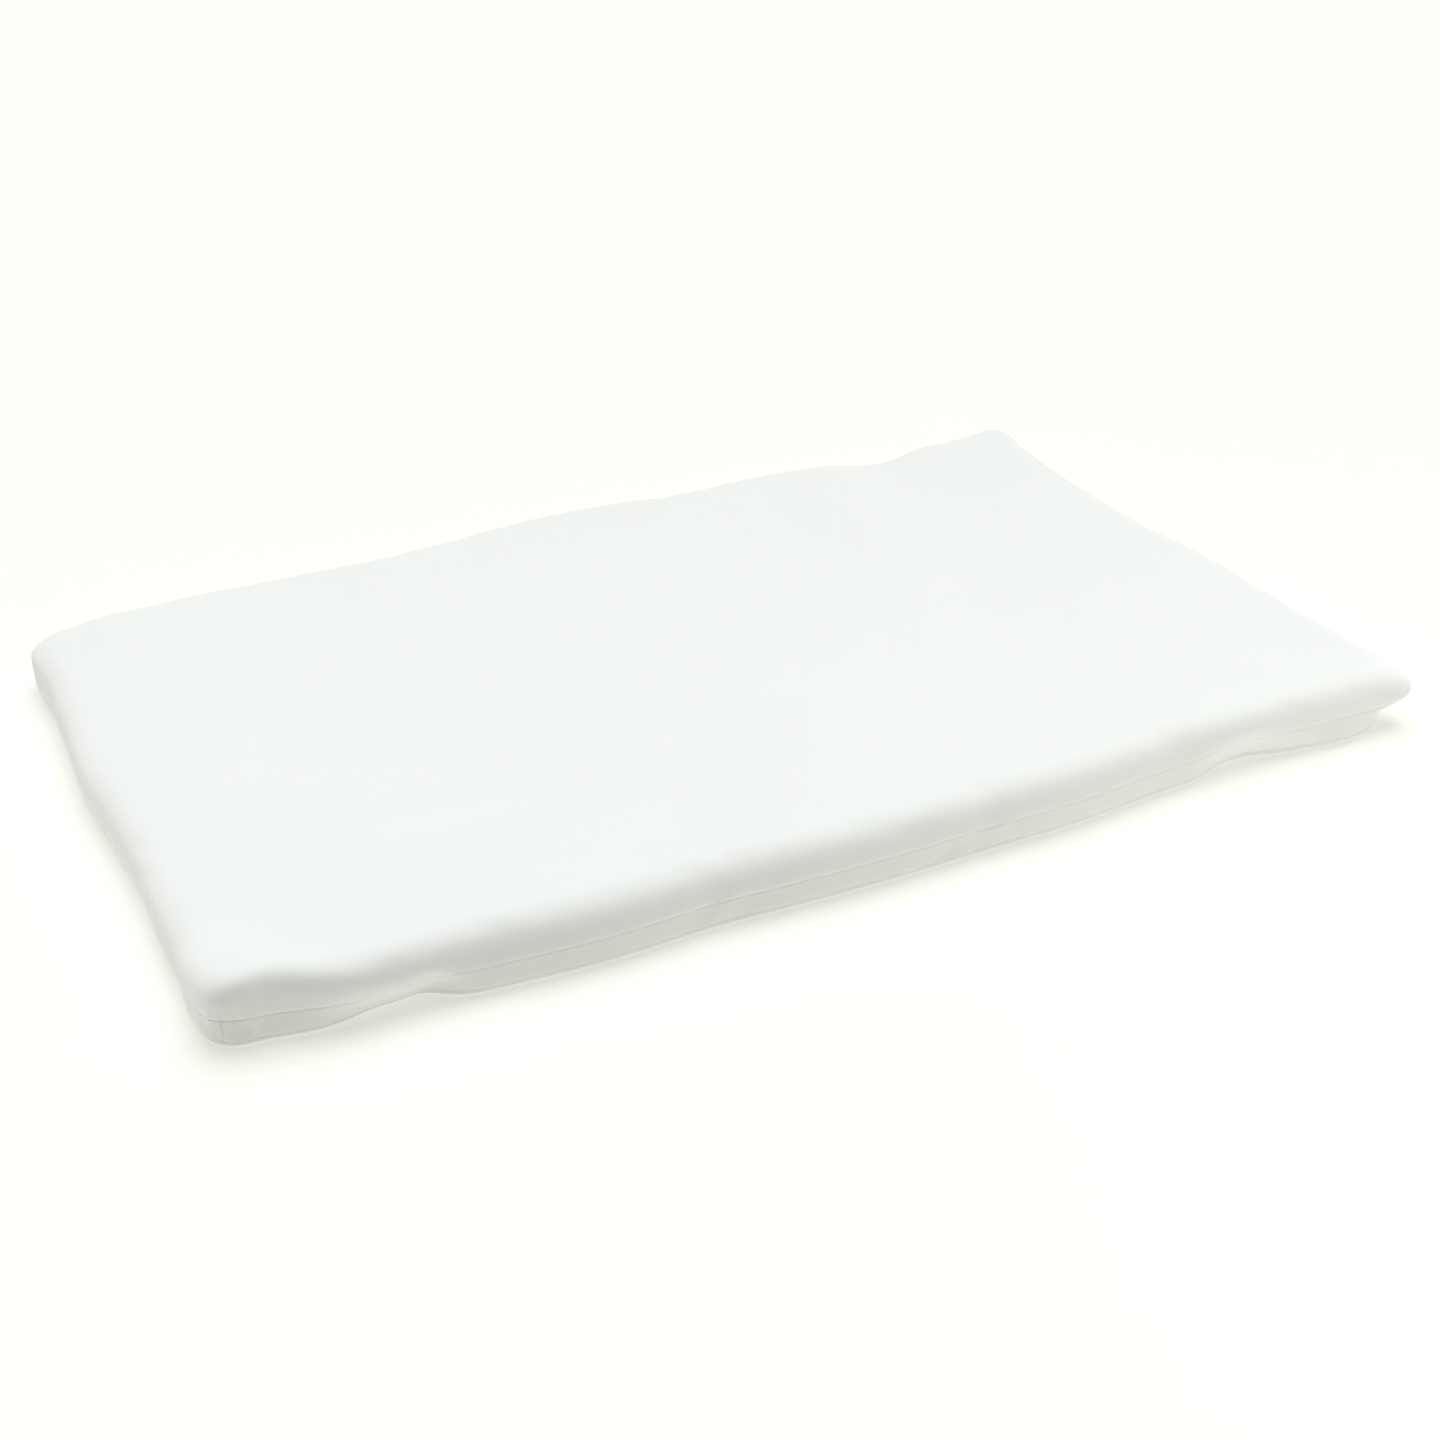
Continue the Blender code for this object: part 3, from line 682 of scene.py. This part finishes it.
def swept(path, side, up, section, closed=False):
    """Points, quads and flat corners of a section carried along a path. Point k of the section at
    step i is path + side times its first number + up times its second. Open ends get a cap."""
    steps, count = len(path), len(section)
    points = path[:, None] + side[:, None] * section[:, :1] + up[:, None] * section[:, 1:]
    index = np.arange(steps * count).reshape(steps, count)
    ring = np.vstack([index, index[:1]]) if closed else index
    quads = cells(ring.T[np.r_[0:count, 0]])
    run = running_length(path)
    run = np.append(run, 2 * run[-1] - run[-2]) if closed else run
    flat = flat_map(running_length(np.vstack([section, section[:1]])), run)
    if not closed:
        pair = np.arange(count // 2 - 1)
        cap = np.stack([pair, pair + 1, count - 2 - pair, count - 1 - pair], axis=-1)
        caps = np.concatenate([index[0][cap], index[-1][cap[:, ::-1]]])
        quads = np.concatenate([quads, caps])
        flat = np.concatenate([flat, np.zeros((len(caps), 4, 2))])
    return points.reshape(-1, 3), quads, flat


def sideways(path):
    """The horizontal direction to the right of a path, which is outward when it runs anticlockwise."""
    ahead = np.gradient(path, axis=0)
    side = np.column_stack([ahead[:, 1], -ahead[:, 0], np.zeros(len(path))])
    return side / np.linalg.norm(side, axis=1)[:, None]


def box_section(half_thick, half_wide):
    """The four corners of a flat strip's section, anticlockwise."""
    return np.array([[-1, -1], [1, -1], [1, 1], [-1, 1]]) * [half_thick, half_wide]


def strip(name, node, points, quads, flat, crease=40):
    """A strip of woven tape as one closed piece, with sharp edges where it turns more than a crease."""
    made = piece(name, points, quads, TAPE, flat=flat, closed=True)
    made.data.set_sharp_from_angle(angle=math.radians(crease))
    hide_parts(node)
    return made


# %% Bindings over the two seams
UPRIGHT = np.array([0.0, 0.0, 1.0])


def binding(name, node, start):
    """A woven tape over the inside of a seam, where the frame has it, settled with the cover."""
    low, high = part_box(node)
    inset = HALF_LENGTH - high.x + 0.3 * MM
    plan = path_round(inset, start, 6 * MM)
    path = np.column_stack([plan, np.full(len(plan), (low.z + high.z) / 2)])
    closed = start == 0
    path = path[:-1] if closed else path
    section = box_section(0.3 * MM, (high.z - low.z) / 2)
    points, quads, flat = swept(path, sideways(path), np.tile(UPRIGHT, (len(path), 1)), section, closed)
    made = strip(name, node, settle(points, BENEATH), quads, flat)


binding("mid_seam_binding", "mid_seam_tape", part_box("zip_tape_upper")[1].y + 0.5 * MM)
binding("bottom_seam_binding", "bottom_seam_tape", 0)


# %% Zip tapes
def zip_tape(name, node, coil_node):
    """A woven tape with the thicker corded edge that carries the coil. Its section is a flat strip
    that swells inward over the last 2 mm beside the coil."""
    low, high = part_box(node)
    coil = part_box(coil_node)
    beside = 1 if coil[0].z - low.z < 0.5 * MM else -1
    edge, far = (low.z, high.z) if beside > 0 else (high.z, low.z)
    outer, inner, cord = high.x, low.x, low.x - 0.25 * MM
    heights = np.array([edge, edge + beside * 1.0 * MM, edge + beside * 2.0 * MM, far])
    section = np.array([*[(outer, z) for z in heights], *zip((inner, inner, cord, cord), heights[::-1])])
    path = evenly(np.array([[0, low.y, 0], [0, high.y, 0]]), 10 * MM)
    along = np.tile([1.0, 0, 0], (len(path), 1))
    points, quads, flat = swept(path, along, np.tile(UPRIGHT, (len(path), 1)), section)
    made = strip(name, node, points, quads, flat)
    print(f"{name}: {high.y - low.y:.2f} m of tape")


for side in ("upper", "lower"):
    zip_tape(f"zip_tape_{side}_woven", f"zip_tape_{side}", f"zip_coil_{side}")

# %% [markdown]
# ## The zip's coils
#
# A coil zip is two springs of nylon wire, flattened and sewn to the tapes, whose turns slip between
# each other. A coil is a helix, and a helix is one formula: round an ellipse, and along Y by a pitch a
# turn. The forming wheel makes most of that advance at the tape side, so the wire is nearly square to
# the tape at its head, where the two coils mesh. The second coil is the mirror of the first, half a
# pitch on.

# %% Two meshed coils
WIRE = 0.56 * MM
COIL_PITCH = 1.45 * MM
TURN_POINTS = 9
MESH_DEPTH = 0.45 * MM


def coil(name, node, facing):
    """A flattened helix. facing is 1 for the upper coil, whose heads point down, and -1 for the lower.
    The angle t goes round the ellipse, and the advance is pitch (t + 0.8 sin t) / 2 pi."""
    low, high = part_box(node)
    head = MID_SEAM - facing * MESH_DEPTH
    heel = high.z if facing > 0 else low.z
    turns = round((high.y - low.y) / COIL_PITCH) - 2
    t = np.linspace(0, 2 * math.pi * turns, TURN_POINTS * turns + 1)
    tall = (heel - head) / 2 - facing * WIRE / 2
    deep = (high.x - low.x) / 2 - WIRE / 2
    ring = np.column_stack([deep * np.sin(t), np.zeros_like(t), tall * np.cos(t)])
    step = (t + 0.8 * np.sin(t)) / (2 * math.pi) * COIL_PITCH
    step += COIL_PITCH / 2 * (facing < 0) + (high.y - low.y - COIL_PITCH * (turns + 0.5)) / 2
    middle = np.array([(low.x + high.x) / 2, low.y, (heel + head) / 2])
    path = middle + ring + np.column_stack([np.zeros_like(t), step, np.zeros_like(t)])
    away = ring / np.linalg.norm(ring, axis=1)[:, None]
    thick = np.full(len(path) + 2, WIRE / 2)
    thick[[0, -1]] = 0
    path, away = (np.concatenate([line[:1], line, line[-1:]]) for line in (path, away))
    round_it = np.linspace(0, 2 * math.pi, 6)[:-1]
    points = path[:, None] + thick[:, None, None] * (
        away[:, None] * np.cos(round_it)[:, None] + np.array([0, 1.0, 0]) * np.sin(round_it)[:, None])
    index = np.arange(points[..., 0].size).reshape(len(path), -1)
    made = piece(name, points.reshape(-1, 3), cells(index, wrap=True), NYLON, closed=True)
    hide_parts(node)
    print(f"{name}: {turns} turns of {WIRE / MM:.2f} mm wire")


coil("zip_coil_upper_wire", "zip_coil_upper", 1)
coil("zip_coil_lower_wire", "zip_coil_lower", -1)

# %% [markdown]
# ## Slider, pull tab and stops
#
# These are small castings, and the frame already has their true shape, so they aren't built again. A
# copy of each node's mesh has its loose triangles merged and its flat faces joined, and a small bevel
# rounds the edges as tumbling does. The slider and the tab ride on their own bodies.

# %% Castings from the frame
def casting(name, node, body, edge):
    """A copy of a node with its triangles merged into flat faces and its edges rounded."""
    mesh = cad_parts[node].data.copy()
    mesh.name = name
    work = bmesh.new()
    work.from_mesh(mesh)
    bmesh.ops.remove_doubles(work, verts=work.verts, dist=1e-6)
    bmesh.ops.dissolve_limit(work, angle_limit=math.radians(1), verts=work.verts, edges=work.edges)
    work.to_mesh(mesh)
    work.free()
    mesh.materials.clear()
    mesh.materials.append(NICKEL)
    made = bpy.data.objects.new(name, mesh)
    bpy.context.scene.collection.objects.link(made)
    modify(made, "BEVEL", width=edge, segments=3, limit_method="ANGLE", angle_limit=math.radians(35),
           harden_normals=False)
    mesh.shade_smooth()
    mesh.set_sharp_from_angle(angle=math.radians(35))
    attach(made, body)
    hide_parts(node)
    print(f"{name}: {len(mesh.polygons)} faces")


casting("slider_casting", "zip_slider", "slider", 0.25 * MM)
casting("pull_tab_casting", "zip_pull_tab", "pull_tab", 0.22 * MM)
for stop in ("top_stop_upper", "top_stop_lower", "bottom_stop"):
    casting(f"{stop}_clip", f"zip_{stop}", "mattress", 0.3 * MM)

# %% [markdown]
# ## The foam and its sock
#
# Both foams are slabs of the same folded kind, a little smaller than the cover. The memory foam has
# the mattress's rolled top edge, and the firm foam below it has a small roll at its foot, and where
# they meet each has only the softened edge of a saw cut. The sock is a thin skin round both, open at the
# foot end. All are settled by the same bumps as the cover.

# %% Foam blocks
SAW_EDGE = 2 * MM


def foam(name, node, finish, top_roll, foot_roll):
    """One block of foam as a closed, softly edged slab where the frame has it."""
    low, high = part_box(node)
    corner = CORNER - (low.x + HALF_LENGTH)
    levels = np.linspace(low.z + foot_roll + 0.5 * MM, high.z - top_roll - 0.5 * MM, 4)
    points, top, wall, bottom, _ = slab(low, high, corner, top_roll, foot_roll, levels, 40 * MM, 6)
    quads = np.concatenate([cells(top.T), cells(wall, wrap=True), cells(bottom)])
    made = piece(name, settle(points, BENEATH), quads, finish)
    modify(made, "SUBSURF", levels=1, render_levels=1)
    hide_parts(node)
    print(f"{name}: {(high.z - low.z) / MM:.1f} mm thick, {len(quads)} quads")


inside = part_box("memory_foam_layer")[0].x + HALF_LENGTH
foam("memory_foam_block", "memory_foam_layer", MEMORY_FOAM,
     TOP_ROLL - inside, SAW_EDGE)
foam("support_foam_block", "support_foam_core", SUPPORT_FOAM,
     SAW_EDGE, FOOT_ROLL - inside)


# %% The sock and its elastic
ELASTIC = 5 * MM
mouth_low, mouth_high = (np.array(corner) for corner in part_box("liner_mouth_elastic"))
sock_low, sock_high = (np.array(corner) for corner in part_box("inner_liner"))
sock_inset = sock_low[0] + HALF_LENGTH
sock, sock_top, sock_wall, sock_bottom, _ = slab(
    sock_low, sock_high, CORNER - sock_inset, TOP_ROLL - sock_inset, FOOT_ROLL - sock_inset,
    np.linspace(mouth_low[2] - 0.3 * MM, mouth_high[2] + 0.3 * MM, 4), 30 * MM, 6, (mouth_high[1],))
sock_quads = np.concatenate([cells(sock_top.T), cells(sock_wall, wrap=True), cells(sock_bottom)])
middle = sock[sock_quads].mean(axis=1)
in_mouth = ((middle[:, 0] > sock_high[0] - 1 * MM) & (np.abs(middle[:, 1]) < mouth_high[1])
            & (middle[:, 2] > mouth_low[2]) & (middle[:, 2] < mouth_high[2]))
corners = sock[sock_quads]
on_wall = np.isin(sock_quads, sock_wall[1:-1]).any(axis=1)[:, None]
sock_flat = np.stack([corners[..., 0] + np.where(on_wall, corners[..., 1], 0),
                      np.where(on_wall, corners[..., 2], corners[..., 1])], axis=-1)
liner = piece("liner_sock", settle(sock, BENEATH), sock_quads[~in_mouth], JERSEY,
              flat=sock_flat[~in_mouth])
modify(liner, "SUBSURF", levels=1, render_levels=1, boundary_smooth="PRESERVE_CORNERS")
modify(liner, "SOLIDIFY", thickness=0.7 * MM, offset=-1.0)
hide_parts("inner_liner")

half_mouth = (mouth_high - mouth_low)[1:] / 2 - ELASTIC / 2
bend = 4 * MM
round_mouth = round_corners(half_mouth - bend, bend, 5)
round_mouth = evenly(np.vstack([round_mouth, round_mouth[:1]]), 4 * MM)[:-1]
ahead = np.roll(round_mouth, -1, axis=0) - np.roll(round_mouth, 1, axis=0)
ahead /= np.linalg.norm(ahead, axis=1)[:, None]
gather = 0.15 * MM * np.sin(np.arange(len(round_mouth)) * 1.9)
elastic_path = np.column_stack([(mouth_low[0] + mouth_high[0]) / 2 + gather,
                                round_mouth + [0, (mouth_low[2] + mouth_high[2]) / 2]])
elastic_side = np.column_stack([np.zeros(len(ahead)), ahead[:, 1], -ahead[:, 0]])
points, quads, flat = swept(elastic_path, elastic_side, np.tile([1.0, 0, 0], (len(ahead), 1)),
                            box_section(ELASTIC / 2, 0.25 * MM), closed=True)
strip("liner_elastic", "liner_mouth_elastic", points, quads, flat, crease=50)
print("elastic:", len(quads), "quads")

# %% [markdown]
# ## The care label
#
# A blank satin label is caught in the mid seam at the back and hangs over the lower border. A flat card
# would look stiff, so its rows curl away from the cover by the square of their distance from the seam,
# with a shallow wave across.

# %% A blank satin label
def surface_y(x, z):
    """How far back the lower border of the cover is at a place, read from its points."""
    column = np.argmin(np.abs(border_points[-1, :, 0] - x) + 9 * (border_points[-1, :, 1] < 0))
    return np.interp(z, WALL_ROWS, border_points[:, column, 1])


label_low, label_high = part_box("care_label")
label_x = np.linspace(label_low.x, label_high.x, 13)
label_z = np.linspace(label_high.z, label_low.z, 13)
across, down = np.meshgrid(label_x, label_z)
label_wide, label_tall = label_high.x - label_low.x, label_high.z - label_low.z
hang = (label_high.z - down) / label_tall
curl = 3.5 * MM * hang ** 2 + 0.5 * MM * hang * np.sin((across - label_low.x) / label_wide * 5)
label_y = surface_y((label_low.x + label_high.x) / 2, down) + 0.5 * MM + curl
label_points = np.stack([across, label_y, down], axis=-1).reshape(-1, 3)
label_quads = cells(np.arange(down.size).reshape(down.shape))
label = piece("care_label_ribbon", label_points, label_quads, SATIN,
              flat=flat_map(label_high.z - label_z, label_x))
modify(label, "SUBSURF", levels=1, render_levels=1)
modify(label, "SOLIDIFY", thickness=0.25 * MM, offset=0.0)
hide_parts("care_label")
print("label:", np.round(np.ptp(label_points, axis=0) / MM, 1).tolist(), "mm")

# %% [markdown]
# ## Thread
#
# Every seam is held by thread, so it is made as thread: one small spindle for each stitch, sunk at both
# ends. There are thousands of them, so each has only five sides, and three rings between its two tips.
# One function lays them along any line of points, given the direction out of the cloth at each.

# %% Helpers for stitches
STITCH_RADIUS = 0.2 * MM
SEAM_STITCH = (4.0 * MM, 2.6 * MM)


def stitches(name, places, ahead, out, length):
    """A spindle at each place. At t, from -1 to 1 along the stitch, its radius has the factor
    sqrt(1 - t^2), and it rises out of the cloth by radius times (1 - t^2)."""
    t = np.array([-1.0, -0.6, 0.0, 0.6, 1.0])
    turn = np.linspace(0, 2 * math.pi, 6)[:-1]
    ahead, out = np.broadcast_to(ahead, places.shape), np.broadcast_to(out, places.shape)
    ahead = ahead / np.linalg.norm(ahead, axis=1)[:, None]
    side = np.cross(out, ahead)
    fat = STITCH_RADIUS * np.sqrt(1 - t ** 2)
    spine = (places[:, None] + ahead[:, None] * (t * length / 2)[:, None]
             + out[:, None] * (STITCH_RADIUS * (1 - t ** 2))[:, None])
    ring = (out[:, None] * np.cos(turn)[:, None] + side[:, None] * np.sin(turn)[:, None])
    points = spine[:, :, None] + ring[:, None] * fat[:, None, None]
    index = np.arange(points[..., 0].size).reshape(-1, len(t), len(turn))
    first = cells(index[0], wrap=True)
    quads = (first + index[:, 0, 0][:, None, None]).reshape(-1, 4)
    piece(name, points.reshape(-1, 3), quads, THREAD, closed=True)
    print(f"{name}: {len(places)} stitches")


def seam_thread(name, rim, keep=None):
    """A row of stitches round one rim of the bag, where keep is true, sunk into the cloth a little."""
    pitch, length = SEAM_STITCH
    path = evenly(np.vstack([bag[rim], bag[rim[:1]]]), pitch)
    out = sideways(path)
    kept = np.ones(len(path), bool) if keep is None else keep(path)
    stitches(name, (path - out * STITCH_RADIUS)[kept], np.gradient(path, axis=0)[kept], out[kept], length)


def off_the_zip(path):
    """True away from the zip's opening at the foot end."""
    return (path[:, 0] < HALF_LENGTH - 0.02) | (np.abs(path[:, 1]) > SLOT_CLOSES[1] + 8 * MM)


def on_foot_end(y, heights, proud):
    """Places on the foot end at each y, for each height over the mid seam, and a little proud of it."""
    return np.array([(HALF_LENGTH + proud, at, MID_SEAM + height) for height in heights for at in y])


# %% Rows of stitches
seam_thread("mid_seam_thread", top_rim, off_the_zip)
seam_thread("bottom_seam_thread", bottom_rim)

zip_y = np.arange(-ZIP_END - 8 * MM, ZIP_END + 8 * MM, 3.2 * MM)
beside_zip = on_foot_end(zip_y, (11.5 * MM, -11.5 * MM), 0.05 * MM)
stitches("zip_top_stitching", beside_zip, [0, 1, 0], [1, 0, 0], 2.2 * MM)

bar_y = np.concatenate([side * (ZIP_END + 12 * MM + 0.7 * MM * np.arange(6)) for side in (1, -1)])
stitches("zip_bar_tacks", on_foot_end(bar_y, [0], 0.1 * MM), UPRIGHT, [1, 0, 0], 11 * MM)

lines, outs = [], []
for column, diagonal in zip(corner_at, ((-1, -1, 0), (1, -1, 0), (1, 1, 0), (-1, 1, 0))):
    lines.append(evenly(border_points[:, column], 3.6 * MM)[1:-1])
    outs.append(np.tile(np.array(diagonal) / math.sqrt(2), (len(lines[-1]), 1)))
stitches("border_corner_thread", np.concatenate(lines), UPRIGHT, np.concatenate(outs), 2.4 * MM)

label_top = np.array([(x, label_y[0, 0] + 0.15 * MM, label_high.z - 1.5 * MM)
                      for x in np.arange(label_low.x + 1.5 * MM, label_high.x - 1 * MM, 3.0 * MM)])
stitches("label_thread", label_top, [1, 0, 0], [0, 1, 0], 2.2 * MM)

# %% [markdown]
# ## Studio
#
# The mattress lies on a plain white floor under soft light. White cloth on white needs its light to
# come mostly from above and a little from behind, so that the long front side falls into a soft shade,
# deepest at its near end. A low strip lights the head end, and a lamp at the front lifts the side's far
# end. The world gives little light, but the camera sees it white, so that a low view has a white back.

# %% Floor
def studio_floor():
    """A wide white plane that gives a little light of its own, so that shadows on it stay faint."""
    material, tree, shader = new_material("studio_floor", Roughness=0.9)
    shader.inputs["Base Color"].default_value = linear("#c6c5be")
    shader.inputs["Emission Color"].default_value = linear("#fffef9")
    shader.inputs["Emission Strength"].default_value = 0.45
    reach = 30.0
    ends = [(x, y, 0.0) for y in (-reach, reach) for x in (-reach, reach)]
    mesh = bpy.data.meshes.new("studio_floor")
    mesh.from_pydata(ends, [], cells(np.arange(4).reshape(2, 2)).tolist())
    mesh.materials.append(material)
    floor = bpy.data.objects.new("studio_floor", mesh)
    bpy.context.scene.collection.objects.link(floor)
    return floor


floor = studio_floor()
print("floor:", floor.name)


# %% Lights
def light(name, kind, place, aim, energy, colour, **settings):
    """A lamp at a place that points at aim."""
    lamp = bpy.data.lights.new(name, kind)
    lamp.energy = energy
    lamp.color = linear(colour)[:3]
    for key, value in settings.items():
        setattr(lamp, key, value)
    made = bpy.data.objects.new(name, lamp)
    made.location = place
    made.rotation_euler = (Vector(aim) - Vector(place)).to_track_quat("-Z", "Y").to_euler()
    bpy.context.scene.collection.objects.link(made)


WORLD_LIGHT = 0.12
WORLD_SEEN = 0.90
world = bpy.data.worlds.new("studio")
world.use_nodes = True
sky = world.node_tree
background = sky.nodes["Background"]
background.inputs["Color"].default_value = linear("#fbfffb")
seen = maths(sky, "MULTIPLY", add(sky, "LightPath").outputs["Is Camera Ray"], WORLD_SEEN)
sky.links.new(maths(sky, "ADD", seen, WORLD_LIGHT), background.inputs["Strength"])
bpy.context.scene.world = world
light("key_from_behind", "SUN", (1.0, 1.4, 5.0), (0, 0, 0), 2.92, "#fdfeff", angle=math.radians(60))
light("head_end_fill", "AREA", (-2.6, 0.0, 0.2), (-1.0, 0, 0.05), 5.5, "#ffffff", shape="RECTANGLE",
      size=1.6, size_y=0.3)
light("foot_side_fill", "AREA", (1.35, -2.3, 0.50), (0.5, -0.6, 0.05), 9.2, "#fffef8", size=1.0)
bpy.context.scene.view_settings.view_transform = "Standard"
print("lights placed")

# %% [markdown]
# ## Camera
#
# The camera looks down at the mattress from beyond its near head corner, with a slightly long lens.
# Its place is a distance along the line of sight, after a small slide to the side and down that
# centres the mattress in the frame.

# %% Camera
VIEW_AZIMUTH, VIEW_ELEVATION = math.radians(-27.09), math.radians(29.79)
VIEW_DISTANCE = 3.579
SLIDE = (0.0299, -0.0336)
LENS = 52.74

camera = bpy.data.objects.new("camera", bpy.data.cameras.new("camera"))
bpy.context.scene.collection.objects.link(camera)
sin_a, cos_a = math.sin(VIEW_AZIMUTH), math.cos(VIEW_AZIMUTH)
sin_e, cos_e = math.sin(VIEW_ELEVATION), math.cos(VIEW_ELEVATION)
to_camera = Vector((sin_a * cos_e, -cos_a * cos_e, sin_e))
right_of = Vector((cos_a, sin_a, 0))
up_of = Vector((-sin_a * sin_e, cos_a * sin_e, cos_e))
camera.location = to_camera * VIEW_DISTANCE + right_of * SLIDE[0] + up_of * SLIDE[1]
camera.rotation_euler = (-to_camera).to_track_quat("-Z", "Y").to_euler()
camera.data.lens = LENS
camera.data.sensor_width = 36.0
camera.data.clip_end = 60.0
bpy.context.scene.camera = camera
print("camera at", np.round(camera.location, 3).tolist())
